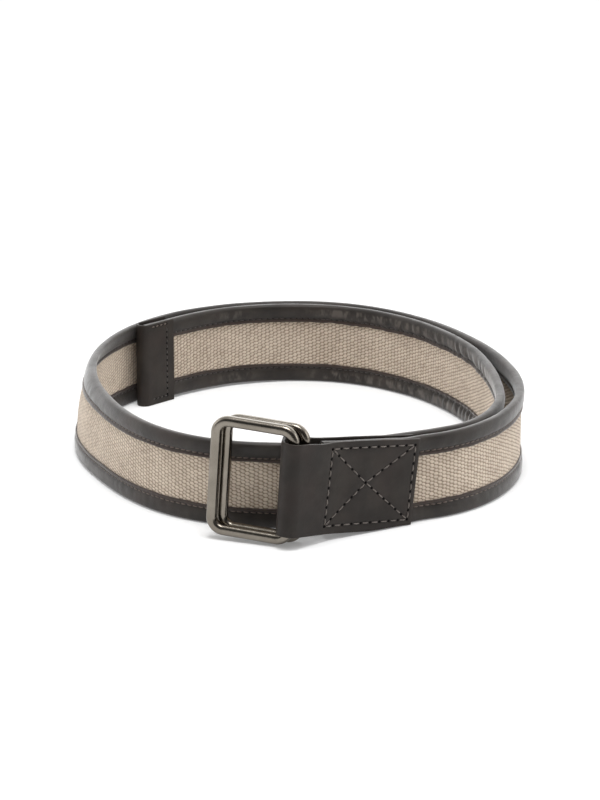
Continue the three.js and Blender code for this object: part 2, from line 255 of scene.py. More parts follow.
def lengths_round(section):
    """Running length round a closed section, for UVs, with the closing value."""
    ring = np.vstack([section, section[:1]])
    return np.concatenate([[0], np.cumsum(np.linalg.norm(np.diff(ring, axis=0), axis=1))])


def thread_piece(name, starts, ends, normals, radius, height, material, body):
    """Stitches as short bowed threads whose ends sink into the surface."""
    starts, ends, normals = (np.asarray(a, float) for a in (starts, ends, normals))
    rings, sides = 7, 6
    sunk, thin, flat = 0.35, 0.45, 0.8
    t = np.linspace(0, 1, rings)
    arch = np.sin(np.pi * t)
    along = ends - starts
    along = along / np.linalg.norm(along, axis=1, keepdims=True)
    normals = normals / np.linalg.norm(normals, axis=1, keepdims=True)
    across = np.cross(along, normals)
    lift = (arch - sunk) * height
    middle = (starts[:, None] + (ends - starts)[:, None] * t[None, :, None]
              + normals[:, None] * lift[None, :, None])
    thick = radius * (thin + (1 - thin) * np.sqrt(arch))
    turn = np.linspace(0, 2 * np.pi, sides, endpoint=False)
    offset = (normals[:, None, None] * (np.cos(turn)[None, None, :, None] * flat)
              + across[:, None, None] * np.sin(turn)[None, None, :, None])
    verts = middle[:, :, None] + offset * thick[None, :, None, None]
    count = len(starts)
    base = (np.arange(count) * rings * sides)[:, None, None]
    k = np.arange(rings - 1)[None, :, None] * sides
    j = np.arange(sides)[None, None, :]
    j2 = (j + 1) % sides
    here, there = base + k, base + k + sides
    quads = np.stack(np.broadcast_arrays(here + j, here + j2, there + j2, there + j), -1)
    faces = quads.reshape(-1, 4).tolist()
    u = t[:-1][None, :, None] * np.ones((count, 1, sides))
    uvs = np.stack([np.stack([u + d, np.broadcast_to(j / sides + e / sides, u.shape)], -1)
                    for d, e in ((0, 0), (0, 1), (1 / (rings - 1), 1), (1 / (rings - 1), 0))], -2)
    return make_piece(name, verts.reshape(-1, 3), faces, uvs.reshape(-1, 2), material, body, sharp=0)


# Materials
class Nodes:
    """Short names for building a material's node tree."""

    def __init__(self, name):
        self.material = bpy.data.materials.new(name)
        self.material.use_nodes = True
        self.tree = self.material.node_tree
        self.tree.nodes.clear()
        self.out = self.add("ShaderNodeOutputMaterial")
        self.shader = self.add("ShaderNodeBsdfPrincipled")
        self.tree.links.new(self.shader.outputs[0], self.out.inputs[0])

    def add(self, kind, **settings):
        node = self.tree.nodes.new(kind)
        for key, value in settings.items():
            setattr(node, key, value)
        return node

    def put(self, socket, value):
        if isinstance(value, bpy.types.NodeSocket):
            self.tree.links.new(value, socket)
        else:
            socket.default_value = value

    def math(self, operation, *values, clamp=False):
        node = self.add("ShaderNodeMath", operation=operation, use_clamp=clamp)
        for socket, value in zip(node.inputs, values):
            self.put(socket, value)
        return node.outputs[0]

    def noise(self, scale, detail=3.0, rough=0.55, stretch=(1, 1, 1)):
        place = self.add("ShaderNodeMapping")
        place.inputs["Scale"].default_value = stretch
        self.put(place.inputs[0], self.position())
        node = self.add("ShaderNodeTexNoise")
        self.put(node.inputs["Vector"], place.outputs[0])
        node.inputs["Scale"].default_value = scale
        node.inputs["Detail"].default_value = detail
        node.inputs["Roughness"].default_value = rough
        return node.outputs["Fac"]

    def position(self):
        return self.add("ShaderNodeTexCoord").outputs["Object"]

    def uv(self):
        node = self.add("ShaderNodeUVMap", uv_map="UVMap")
        apart = self.add("ShaderNodeSeparateXYZ")
        self.put(apart.inputs[0], node.outputs[0])
        return apart.outputs[0], apart.outputs[1]

    def fit(self, value, low, high, to_low=0.0, to_high=1.0):
        node = self.add("ShaderNodeMapRange", interpolation_type="SMOOTHSTEP")
        for socket, v in zip(node.inputs, (value, low, high, to_low, to_high)):
            self.put(socket, v)
        return node.outputs[0]

    def mix(self, share, a, b):
        node = self.add("ShaderNodeMix", data_type="RGBA")
        self.put(node.inputs[0], share)
        self.put(node.inputs[6], a)
        self.put(node.inputs[7], b)
        return node.outputs[2]

    def bump(self, height, distance, strength):
        node = self.add("ShaderNodeBump")
        self.put(node.inputs["Height"], height)
        node.inputs["Distance"].default_value = distance
        node.inputs["Strength"].default_value = strength
        return node.outputs[0]

    def finish(self, color, roughness, normal=None, **fixed):
        self.put(self.shader.inputs["Base Color"], color)
        self.put(self.shader.inputs["Roughness"], roughness)
        if normal is not None:
            self.put(self.shader.inputs["Normal"], normal)
        for key, value in fixed.items():
            socket = key.replace("_", " ").title().replace("Ior", "IOR")
            self.shader.inputs[socket].default_value = value
        return self.material


def linear(r, g, b):
    """An sRGB colour, 0 to 255, as a linear one with alpha."""
    def one(c):
        c = c / 255
        return c / 12.92 if c <= 0.04045 else ((c + 0.055) / 1.055) ** 2.4
    return (one(r), one(g), one(b), 1.0)


def painted_fold_highlight(n, along, from_fold):
    """Share of painted highlight on the folds of the inner side's gathered stretches."""
    ease = 20
    inner = n.math("MULTIPLY", n.fit(from_fold, 2.5, 4.0), n.fit(from_fold, 6.0, 8.5, 1.0, 0.0))
    stretch = 0.0
    for start, end, share in GATHERS:
        rise = n.fit(along, start, start + ease)
        fall = n.fit(along, end - ease, end, share, 0.0)
        stretch = n.math("MAXIMUM", stretch, n.math("MULTIPLY", rise, fall))
    folds = n.fit(n.noise(380, 2, stretch=(1, 1, 0.4)), 0.42, 0.66)
    return n.math("MULTIPLY", n.math("MULTIPLY", inner, stretch), folds)


def leather_material(name, dark, light, warm, grain=1.0, lip=None, gloss=0.2, **fixed):
    """Smooth leather, warmer in patches. lip is where an edge turns warmer, in lengths from its fold."""
    n = Nodes(name)
    cloud = n.fit(n.noise(70, 4), 0.35, 0.68)
    color = n.mix(cloud, linear(*dark), linear(*light))
    patches = n.math("MULTIPLY", n.fit(n.noise(38, 3), 0.45, 0.75), 0.35)
    color = n.mix(patches, color, linear(*warm))
    if lip:
        along, from_fold = n.uv()
        turned_warm = n.math("MULTIPLY", n.fit(n.math("ABSOLUTE", from_fold), *lip), 0.6)
        color = n.mix(turned_warm, color, linear(*warm))
        # Painted highlight on the folds of the gathered stretches
        color = n.mix(painted_fold_highlight(n, along, from_fold), color, linear(*GATHER_HIGHLIGHT_COLOUR))
    pebble = n.add("ShaderNodeTexVoronoi", feature="SMOOTH_F1")
    n.put(pebble.inputs["Vector"], n.position())
    pebble.inputs["Scale"].default_value = 1500
    pebble.inputs["Smoothness"].default_value = 0.6
    crease = n.noise(420, 5, 0.6)
    height = n.math("ADD", n.math("MULTIPLY", pebble.outputs["Distance"], 0.55 * grain), crease)
    rough = n.fit(n.noise(160, 4), 0.3, 0.7, 0.40, 0.56)
    return n.finish(color, rough, n.bump(height, 0.00016, 0.5), specular_ior_level=gloss, **fixed)


def weave_material():
    """Canvas in a coarse weave: columns of short raised nubs, each column half a nub up."""
    n = Nodes("canvas")
    u, v = n.uv()
    shake = 0.7
    shake_u = n.math("MULTIPLY", n.math("SUBTRACT", n.noise(300, 2), 0.5), shake)
    shake_v = n.math("MULTIPLY", n.math("SUBTRACT", n.noise(340, 2), 0.5), shake)
    a = n.math("ADD", n.math("DIVIDE", u, NUB_WIDTH), shake_u)
    col = n.math("FLOOR", a)
    half_up = n.math("MULTIPLY", n.math("MODULO", col, 2.0), 0.5)
    b = n.math("ADD", n.math("DIVIDE", v, NUB_HEIGHT), n.math("ADD", half_up, shake_v))
    row = n.math("FLOOR", b)
    # Place within a nub, from its middle, leaning a little sideways
    fy = n.math("SUBTRACT", n.math("FRACT", b), 0.5)
    fx = n.math("ADD", n.math("SUBTRACT", n.math("FRACT", a), 0.5), n.math("MULTIPLY", fy, 0.3))
    ex = n.math("POWER", n.math("ABSOLUTE", n.math("DIVIDE", fx, 0.56)), 2.2)
    ey = n.math("POWER", n.math("ABSOLUTE", n.math("DIVIDE", fy, 0.5)), 2.0)
    nub = n.math("SUBTRACT", 1.0, n.math("ADD", ex, ey), clamp=True)
    dome = n.math("POWER", nub, 0.6)
    cell = n.add("ShaderNodeTexWhiteNoise", noise_dimensions="2D")
    place = n.add("ShaderNodeCombineXYZ")
    n.put(place.inputs[0], col)
    n.put(place.inputs[1], row)
    n.put(cell.inputs["Vector"], place.outputs[0])
    each = cell.outputs["Value"]
    fibre = n.noise(2600, 3, 0.6)
    height = n.math("ADD", dome, n.math("MULTIPLY", fibre, 0.3))
    # Painted light and shade: nub tops lighter and the gaps between nubs darker, with a random tone per nub
    lit = n.math("MULTIPLY", dome, n.math("ADD", 0.7, n.math("MULTIPLY", each, 0.5)))
    broad = n.fit(n.noise(55, 4), 0.35, 0.65)
    gap = n.mix(broad, linear(140, 123, 106), linear(152, 134, 116))
    yarn = n.mix(broad, linear(208, 192, 174), linear(218, 203, 185))
    color = n.mix(n.fit(lit, 0.0, 0.9), gap, yarn)
    return n.finish(color, 0.88, n.bump(height, 0.0004, 0.8), specular_ior_level=0.25,
                    sheen_weight=0.15)


def metal_material():
    """Smooth darkened nickel with faint clouds."""
    n = Nodes("antique_nickel")
    cloud = n.fit(n.noise(90, 5, 0.6), 0.35, 0.7)
    color = n.mix(cloud, linear(120, 114, 105), linear(132, 126, 117))
    rough = n.fit(n.noise(240, 3), 0.3, 0.75, 0.20, 0.27)
    fine = n.noise(700, 2)
    return n.finish(color, rough, n.bump(fine, 0.00001, 0.2), metallic=1.0)


def thread_material(name, dark, light):
    """Twisted thread: slanting bands along each stitch."""
    n = Nodes(name)
    u, v = n.uv()
    along, around = n.math("MULTIPLY", u, 30.0), n.math("MULTIPLY", v, 6.283)
    twist = n.math("SINE", n.math("ADD", along, around))
    color = n.mix(n.fit(twist, -1.0, 1.0), linear(*dark), linear(*light))
    return n.finish(color, 0.6, n.bump(twist, 0.00008, 0.6), sheen_weight=0.2)


def hole_shade_material():
    """Painted shade of a needle hole: near-black for the shadow inside it."""
    n = Nodes("needle_hole_shade")
    spots = n.noise(800, 3)
    color = n.mix(spots, linear(7, 6, 6), linear(16, 14, 13))
    return n.finish(color, 0.9, n.bump(spots, 0.0001, 0.4), specular_ior_level=0.1)


CANVAS = weave_material()
EDGE = leather_material("edge_leather", (39, 35, 32), (52, 47, 43), (63, 50, 44), lip=(8.6, 9.8),
                        gloss=0.27, sheen_weight=0.55, sheen_roughness=0.35)
TAB = leather_material("tab_leather", (41, 37, 34), (52, 47, 43), (58, 46, 43), grain=0.7)
TIP = leather_material("tip_leather", (42, 38, 35), (52, 47, 43), (58, 45, 42), grain=0.8)
NICKEL = metal_material()
EDGE_THREAD = thread_material("edge_thread", (72, 60, 53), (130, 113, 101))
# A darker copy of the thread, painted shade for stitches inside the roll and low on the cap
SHADED_THREAD = thread_material("shaded_thread", (34, 29, 27), (66, 57, 52))
TAB_THREAD = thread_material("tab_thread", (60, 53, 49), (126, 116, 108))
# Near-black domes of painted shade where the needle holes are
HOLE_SHADE = hole_shade_material()


# Canvas
def build_canvas():
    """The canvas band, faintly swollen between its edges and uneven along its length."""
    s = np.linspace(0, LENGTH, int(LENGTH / CANVAS_STEP))
    low = EDGE_LEATHER + CLEARANCE
    up = np.linspace(low, BELT_WIDTH - low, CANVAS_ROWS)
    ups = np.concatenate([up, up[::-1]])
    sides = np.concatenate([np.ones(CANVAS_ROWS), -np.ones(CANVAS_ROWS)])
    belly = CANVAS_UNEVEN * np.sin(np.pi * (ups - low) / (BELT_WIDTH - 2 * low))
    across = sides * (CANVAS_THICKNESS / 2 + belly) + CANVAS_UNEVEN * wobble(s / 23, 5)[:, None]
    points = strap_point(s[:, None], across, ups[None, :])
    v = np.concatenate([ups, ups[:1] + 0.001])
    grid_piece("canvas", points, s, v, CANVAS, "strap", slot="webbing", replaced=("webbing",))


# Leather edges
def edge_section():
    """Half of the leather edge's section, from the canvas round the lip to the fold: across and depth."""
    shape = np.array([
        (0.95, EDGE_COVER - 0.15), (1.32, EDGE_COVER + 0.02), (1.66, EDGE_COVER - 0.12),
        (1.80, EDGE_COVER - 0.6), (1.72, 7.9), (1.46, EDGE_STITCH_DEPTH),
        (1.84, 6.3), (2.18, 5.0), (2.34, 3.4), (2.22, 1.8), (1.85, 0.75), (1.2, 0.2), (0.45, 0.0),
    ])
    return smooth(shape, np.linspace(0, len(shape) - 1, 25))


def gathered(s, seed):
    """How strongly the leather puckers at s on its inner side."""
    strength = np.zeros_like(s)
    for start, end, share in GATHERS:
        rise = step_up(s, start, start + 22)
        fall = 1 - step_up(s, end - 25, end)
        strength = np.maximum(strength, share * rise * fall)
    return strength * (0.7 + 0.3 * wobble(s / 17, seed))


def edge_ruffle(s, depth, wall, seed, gather_pitch):
    """Puckers of one side of a leather edge, strong on the inner side and faint on the outer one."""
    if wall < 0:
        strength = gathered(s, seed + 1)
    else:
        strength = 0.08 * (1 + wobble(s / 29, seed - 31))
    phase = s / gather_pitch + 0.8 * wobble(s / 9, seed + 2)
    slant = phase[:, None] + 0.045 * depth[None, :]
    tall = (0.7 + 0.3 * wobble(s / 3.1, seed + 3)) * strength
    return tall[:, None] * (2 * np.abs(np.sin(np.pi * slant)) - 1.2)


def build_edge(name, side, seed, gather_pitch):
    """A leather edge folded over the canvas, with its stitches. side is 1 above and -1 below."""
    s = np.linspace(0, LENGTH, int(LENGTH / EDGE_STEP))
    half = edge_section()
    fold = np.array([(0.0, -0.01)])
    slot = np.array([(-EDGE_SLOT, EDGE_SLOT_MOUTH), (-EDGE_SLOT, EDGE_LEATHER),
                     (EDGE_SLOT, EDGE_LEATHER), (EDGE_SLOT, EDGE_SLOT_MOUTH)])
    section = np.vstack([half, fold, half[::-1] * [-1, 1], slot])
    across, depth = section[:, 0], section[:, 1]
    sign = np.sign(across)[None, :]
    outside = (np.abs(across) > 1.0)[None, :]
    size = np.abs(across)[None, :] * np.ones((len(s), 1))
    stitched = np.exp(-((depth - EDGE_STITCH_DEPTH) / 0.75) ** 2)[None, :]
    beat = 0.5 + 0.5 * np.cos(2 * np.pi * s / EDGE_STITCH_PITCH)[:, None]
    body = np.exp(-((depth - 3.2) / 2.2) ** 2)[None, :]
    lip = np.exp(-((depth - EDGE_COVER) / 1.1) ** 2)[None, :]
    size = size - stitched * (0.06 + 0.14 * beat) - lip * 0.08 * beat
    size = size - body * (0.10 + 0.10 * wobble(s / 11, seed)[:, None]) * outside
    ruffle = np.zeros_like(size)
    for wall, offset in ((-1, 0), (1, 40)):
        ruffle = ruffle + (sign == wall) * outside * edge_ruffle(s, depth, wall, seed + offset, gather_pitch)
    size = size + ruffle * GATHER_HEIGHT * np.exp(-((depth - 5.4) / 3.2) ** 2)[None, :]
    # The leather's outside stays clear of the slot that holds the canvas
    size = np.where(outside & (depth > EDGE_LEATHER)[None, :], np.maximum(size, 1.12), size)
    place = sign * np.maximum(size, 0)
    down = depth[None, :] + lip * (0.2 * wobble(s / 6.3, seed + 4)[:, None] + 0.3 * ruffle) * outside
    near_fold = (1 - step_up(depth, 0, 2.5))[None, :]
    down = down + near_fold * (0.08 + 0.08 * wobble(s / 14, seed + 6)[:, None])
    up = down if side < 0 else BELT_WIDTH - down
    points = strap_point(s[:, None], place, up)
    if side < 0:
        points = points[:, ::-1]
        section = section[::-1]
    v = lengths_round(section)
    v = (v - v[int(section[:, 1].argmin())]) * side
    node = name.replace("leather", "binding")
    grid_piece(name, points, s, v, EDGE, "strap", slot="binding", replaced=(node,))
    build_edge_stitches(name.replace("leather", "stitches"), side, seed)


def build_edge_stitches(name, side, seed):
    """A row of stitches on each side of a leather edge, light outside and in painted shade inside."""
    lines = np.arange(EDGE_STITCH_PITCH / 2, LENGTH - EDGE_STITCH_PITCH / 2, EDGE_STITCH_PITCH)
    lines = lines + 0.12 * wobble(lines * 1.7, seed + 5)
    level = EDGE_STITCH_DEPTH + 0.1 * wobble(lines / 7, seed + 6)
    middle = BELT_WIDTH / 2
    for wall, ending, material in ((1, "", EDGE_THREAD), (-1, "_inside", SHADED_THREAD)):
        tips = []
        for shift, slant in ((-EDGE_STITCH_HALF, 0.09), (EDGE_STITCH_HALF, -0.09)):
            depth = level + slant
            up = depth if side < 0 else BELT_WIDTH - depth
            tips.append(strap_point(lines + shift, wall * 1.4, up))
        normals = strap_point(lines, wall * 2.0, middle) - strap_point(lines, wall * 1.0, middle)
        thread_piece(name + ending, *tips, normals, EDGE_THREAD_RADIUS, 0.22, material, "strap")


# Tab and rings
def turned(point, angle):
    """A plan point turned about the origin."""
    c, s = math.cos(angle), math.sin(angle)
    return np.array([point[0] * c - point[1] * s, point[0] * s + point[1] * c])


FRONT_BAR = np.array([SEWN_LENGTH + BAR_REACH, BAR_OUTSET])
RING_DIRECTION = turned((1, 0), -RING_FOLD)
BEHIND_RING = np.array([-math.sin(RING_FOLD), -math.cos(RING_FOLD)])
REAR_BAR = FRONT_BAR - RING_STAGGER * RING_DIRECTION + (RING_BAR + RING_GAP) * BEHIND_RING
FOLD_TILT = math.atan(FOLD_SKEW / BELT_WIDTH)
RING_FOOT = REAR_BAR[0] + (RING_CORNER - RING_BAR / 2) * RING_DIRECTION[0]
TAB_SLOPE = math.asin((RING_DROP + CLEARANCE) / RING_FOOT)
TAB_END = ROWS[0, :2] + SEWN_LENGTH * turned((1, 0), TAB_HEADING)
# Frame of the tab, from the end of its seams, and of the pair of rings, from the front bar in the fold
BUCKLE = (Matrix.Translation((TAB_END[0], TAB_END[1], 0))
          @ Matrix.Rotation(TAB_HEADING + math.pi, 4, "Z") @ Matrix.Rotation(-TAB_SLOPE, 4, "Y"))
PAIR = BUCKLE @ Matrix.Translation((FRONT_BAR[0], FRONT_BAR[1], 0)) @ Matrix.Rotation(FOLD_TILT, 4, "Y")


def moved(points, matrix):
    """Points carried by a placement matrix."""
    m = np.array(matrix)
    return points @ m[:3, :3].T + m[:3, 3]


def tangent_angle(start, start_radius, end, end_radius):
    """Direction in which a tangent leaves a circle for the next one."""
    across = end - start
    toward = math.atan2(across[1], across[0]) % (2 * math.pi)
    return toward + math.acos((start_radius - end_radius) / np.hypot(*across))


def arc(centre, radius, start, end, count):
    turns = np.linspace(start, end, count + 1)
    return centre + radius * np.stack([np.cos(turns), np.sin(turns)], -1)


def tab_line():
    """Plan line of the tab's middle in its own frame, evenly spaced, from the right end and back."""
    swung = turned(REAR_BAR - FRONT_BAR, PAIR_SWING) + FRONT_BAR
    start = np.array([SEWN_LENGTH, TAB_OFFSET])
    finish = np.array([SEWN_LENGTH, -TAB_OFFSET])
    leave_start = tangent_angle(start, 0, FRONT_BAR, FOLD_RADIUS)
    leave_front = tangent_angle(FRONT_BAR, FOLD_RADIUS, swung, FOLD_RADIUS)
    leave_rear = tangent_angle(swung, FOLD_RADIUS, finish, 0)
    front_end = leave_front - 2 * math.pi if leave_front > leave_start else leave_front
    rear_end = leave_rear - 2 * math.pi if leave_rear > front_end else leave_rear
    front = arc(FRONT_BAR, FOLD_RADIUS, leave_start, front_end, 24)
    rear = arc(swung, FOLD_RADIUS, front_end, rear_end, 20)

    def ease(a, b, c):
        t = np.linspace(0, 1, 9)[:, None]
        return a * (1 - t) ** 2 + 2 * b * t * (1 - t) + c * t * t

    before = np.array([SEWN_LENGTH - BAR_REACH / 4, TAB_OFFSET])
    after = start + (front[0] - start) * 0.3
    leaving = rear[-1] + (finish - rear[-1]) * 0.7
    ending = np.array([before[0], -TAB_OFFSET])
    line = np.vstack([[(0, TAB_OFFSET)], ease(before, start, after), front, rear[1:],
                      ease(leaving, finish, ending), [(0, -TAB_OFFSET)]])
    gaps = np.hypot(*np.diff(line, axis=0).T)
    return evenly(line[np.concatenate([[True], gaps > 1e-6])])


TAB_LINE, TAB_AT = tab_line()
TURN_BACK = int(TAB_LINE[:, 0].argmax())
# Corners of the box stitch and middle of its cross: distance from the tab's right-hand end, and height
BOX = {
    "right_low": (2.4, 2.7), "right_high": (2.4, 37.3), "left_high": (45.2, 37.3), "left_low": (45.4, 1.9),
    "middle": (26.2, 21.0),
}
BOX_RUNS = (("left_high", "right_high"), ("right_high", "right_low"), ("right_low", "left_low"),
            ("left_low", "left_high"), ("left_high", "middle"), ("middle", "right_low"),
            ("left_low", "middle"), ("middle", "right_high"))


def box_segments():
    """Runs of the box-and-cross stitch: start, end and number of stitches."""
    runs = [(np.array(BOX[a]), np.array(BOX[b])) for a, b in BOX_RUNS]
    return [(a, b, round(math.dist(a, b) / BOX_STITCH_PITCH)) for a, b in runs]


def tab_edges(x):
    """Heights of the tab's lower and upper edge at x from its right-hand end."""
    fold = step_up(x, SEWN_LENGTH, FRONT_BAR[0])
    low = -1.9 * step_up(x, 0, 24) * (1 - fold) - 1.55 * fold
    high = BELT_WIDTH + 0.35 * step_up(x, 4, 30) * (1 - fold) + 0.8 * fold
    return low, high - 0.45 * np.exp(-((x - 50) / 5) ** 2)


def pillow(x, z):
    """How far the sewn leather swells out at a place on the tab."""
    low, high = tab_edges(x)
    swell = step_up(x, 3, 9) * (1 - step_up(x, SEWN_LENGTH, FRONT_BAR[0]))
    return TAB_PILLOW * swell * np.sin(np.pi * np.clip((z - low) / (high - low), 0, 1))


def tab_surface(x, z, face, rise=0.0):
    """Points in the tab's frame on its outside, rise above it. face is 1 in front, -1 behind."""
    half = TAB_LINE[:TURN_BACK + 1] if face > 0 else TAB_LINE[TURN_BACK:][::-1]
    x = np.asarray(x, float)
    y = np.interp(x, half[:, 0], half[:, 1])
    slope = np.interp(x + 0.5, half[:, 0], half[:, 1]) - np.interp(x - 0.5, half[:, 0], half[:, 1])
    away = np.stack([-slope * face, np.full_like(slope, face), 0 * slope], -1)
    away = away / np.linalg.norm(away, axis=-1, keepdims=True)
    skew = FOLD_SKEW * step_up(x, SEWN_LENGTH, FRONT_BAR[0]) * z / BELT_WIDTH
    out = (TAB_LEATHER / 2 + pillow(x, z) + rise)[:, None]
    return np.stack([x + skew, y, z], -1) + away * out, away


def stitch_dent(x, z):
    """How far stitching pulls the leather in at a place on the tab's outside, from 0 to 1."""
    dent = np.zeros(np.broadcast(x, z).shape)
    for a, b, count in box_segments():
        length = math.dist(a, b)
        way = (b - a) / length
        along = (x - a[0]) * way[0] + (z - a[1]) * way[1]
        off = (x - a[0]) * way[1] - (z - a[1]) * way[0]
        inside = step_up(along, -1.0, 0.5) * (1 - step_up(along, length - 0.5, length + 1.0))
        dent = np.maximum(dent, 0.6 * inside * np.exp(-off ** 2))
        for k in range(count + 1):
            h = a + (b - a) * k / count
            dent = np.maximum(dent, np.exp(-(((x - h[0]) ** 2 + (z - h[1]) ** 2) / 0.6)))
    return dent


def build_tab():
    """The folded tab: leather with rounded edges, soft in the fold and drawn in along its seams."""
    x = TAB_LINE[:, 0][:, None]
    out = line_normals(TAB_LINE)
    toward = step_up(x, SEWN_LENGTH, FRONT_BAR[0])
    low, high = tab_edges(x)
    rise = (np.linspace(0.35, 39.65, TAB_ROWS) / 40)[None, :]
    bevel = np.array([(0.93, 0.10), (0.6, 0.01), (0.0, -0.02), (-0.6, 0.01), (-0.93, 0.10)])
    face = np.ones(TAB_ROWS)
    y = np.concatenate([face, bevel[:, 0], -face, bevel[::-1, 0]])[None, :] * TAB_LEATHER / 2
    up = low + (high - low) * rise
    z = np.hstack([up, high - bevel[None, :, 1], up[:, ::-1], low + bevel[None, ::-1, 1]])
    outside = y > 0
    middle = np.sin(np.pi * np.clip((z - low) / (high - low), 0, 1))
    end = 1 - step_up(x, 0.0, 1.0)
    soft = 0.14 * wobble(TAB_AT / 8.0, 61)[:, None] * middle * toward
    y = y + soft + outside * (pillow(x, z) - 0.3 * stitch_dent(x, z) - 0.25 * end)
    px = x + out[:, 0][:, None] * y + FOLD_SKEW * toward * z / BELT_WIDTH
    py = TAB_LINE[:, 1][:, None] + out[:, 1][:, None] * y
    points = moved(np.stack([px, py, z], -1), BUCKLE)
    around = lengths_round(np.stack([y[0], z[0]], -1))
    grid_piece("tab_leather", points, TAB_AT, around, TAB, "strap", slot="tab", replaced=("tab",), sharp=60)
    build_tab_stitches()


def build_tab_stitches():
    """The tab's box-and-cross stitch on both faces, with a needle hole in painted shade at each stitch end.
    """
    starts, ends, normals, holes, faces = [], [], [], [], []
    for face in (1, -1):
        for a, b, count in box_segments():
            k = np.arange(count)[:, None]
            first = a + (b - a) * (k + 0.2) / count
            last = a + (b - a) * (k + 0.8) / count
            hole = a + (b - a) * np.arange(count + 1)[:, None] / count
            start, away = tab_surface(*first.T, face, -0.12)
            starts.append(start)
            normals.append(away)
            ends.append(tab_surface(*last.T, face, -0.12)[0])
            place, away = tab_surface(*hole.T, face, -0.03)
            holes.append(place)
            faces.append(away)
    turn = np.array(BUCKLE)[:3, :3]
    thread_piece("tab_stitches", moved(np.vstack(starts), BUCKLE), moved(np.vstack(ends), BUCKLE),
                 np.vstack(normals) @ turn.T, TAB_THREAD_RADIUS, 0.26, TAB_THREAD, "strap")
    build_hole_shades("tab_hole_shades", moved(np.vstack(holes), BUCKLE), np.vstack(faces) @ turn.T)


def build_hole_shades(name, holes, normals):
    """Needle holes at the ends of the stitches in painted shade, as small flat dark domes."""
    verts, faces = [], []
    for place, normal in zip(holes, normals):
        base = len(verts)
        first = np.cross(normal, (0, 0, 1))
        first = first / np.linalg.norm(first)
        second = np.cross(normal, first)
        for radius, rise in ((HOLE_RADIUS, -0.16), (0.5, 0.03)):
            for k in range(HOLE_SIDES):
                a = 2 * math.pi * k / HOLE_SIDES
                verts.append(place + radius * (math.cos(a) * first + math.sin(a) * second) + rise * normal)
        verts.append(place + 0.06 * normal)
        rim = base + HOLE_SIDES
        for k in range(HOLE_SIDES):
            k2 = (k + 1) % HOLE_SIDES
            faces.append([base + k, base + k2, rim + k2, rim + k])
            faces.append([rim + k, rim + k2, rim + HOLE_SIDES])
    make_piece(name, np.array(verts), faces, None, HOLE_SHADE, "strap", sharp=0)


def build_ring(name, node, body, matrix):
    """A closed rectangle of soft-edged square bar, in its own frame from the bar in the fold."""
    half = RING_BAR / 2
    reach = RING_LENGTH - RING_BAR
    bottom = -RING_DROP + half
    top = -RING_DROP + RING_HEIGHT - half
    radius = RING_CORNER - half
    places, outs = [], []
    turn_steps, side_steps, around, squareness = 16, 13, 32, 2.5
    corners = ((reach - radius, bottom + radius, -90), (reach - radius, top - radius, 0),
               (radius, top - radius, 90), (radius, bottom + radius, 180))
    for index, (x, z, start) in enumerate(corners):
        for k in range(turn_steps + 1):
            a = math.radians(start + 90 * k / turn_steps)
            places.append((x + radius * math.cos(a), z + radius * math.sin(a)))
            outs.append((math.cos(a), math.sin(a)))
        here, there = places[-1], corners[(index + 1) % 4]
        a = math.radians(there[2])
        goal = (there[0] + radius * math.cos(a), there[1] + radius * math.sin(a))
        for t in np.linspace(0, 1, side_steps + 1)[1:-1]:
            places.append((here[0] + (goal[0] - here[0]) * t, here[1] + (goal[1] - here[1]) * t))
            outs.append(outs[-1])
    places, outs = np.array(places), np.array(outs)
    turns = np.linspace(0, 2 * np.pi, around, endpoint=False)
    power = 2 / squareness
    sx = half * np.sign(np.cos(turns)) * np.abs(np.cos(turns)) ** power
    sy = half * np.sign(np.sin(turns)) * np.abs(np.sin(turns)) ** power
    x = places[:, 0][:, None] + outs[:, 0][:, None] * sx
    z = places[:, 1][:, None] + outs[:, 1][:, None] * sx
    y = np.broadcast_to(sy, x.shape)
    points = moved(np.stack([x, y, z], -1), matrix)
    v = lengths_round(np.stack([sx, sy], -1))
    grid_piece(name, points, lengths_round(places), v, NICKEL, body, closed_rows=True, slot="ring",
               replaced=(node,), sharp=0)


# Tip
TIP_OFFSET = HALF_STRAP + CLEARANCE + TIP_LEATHER / 2
TIP_HEIGHT = BELT_WIDTH + 2 * TIP_PROUD


def tip_line():
    """Plan line of the cap's leather from its outer mouth round the strap's end and back, its places
    and its outward normals."""
    s = np.linspace(LENGTH - TIP_LENGTH, LENGTH, 24)
    outer = strap_point(s, TIP_OFFSET, 0.0)[:, :2]
    inner = strap_point(s, -TIP_OFFSET, 0.0)[:, :2]
    end = strap_point(LENGTH, 0.0, 0.0)[:2]
    out = strap_point(LENGTH, 1.0, 0.0)[:2] - end
    onward = np.array([-out[1], out[0]])
    turns = np.radians(np.linspace(90, -90, 25)[1:-1])
    ahead = (CLEARANCE + TIP_OFFSET * np.cos(turns))[:, None] * onward
    aside = (TIP_OFFSET * np.sin(turns))[:, None] * out
    line, at = evenly(np.vstack([outer, end + ahead + aside, inner[::-1]]))
    normal = line_normals(line)
    return line, at, normal if normal[0] @ out >= 0 else -normal


def tip_section():
    """The cap's closed section: across its leather, and height. Its edges are rounded."""
    half = TIP_LEATHER / 2
    up = np.linspace(0.35, TIP_HEIGHT - 0.35, TIP_ROWS)
    face = np.full(TIP_ROWS, half)
    bevel = np.array([(half * 0.8, 0.1), (half * 0.3, 0.0), (-half * 0.3, 0.0), (-half * 0.8, 0.1)])
    across = np.concatenate([face, bevel[:, 0], -face, bevel[::-1, 0]])
    return np.stack([across, np.concatenate([up, TIP_HEIGHT - bevel[:, 1], up[::-1], bevel[::-1, 1]])], -1)


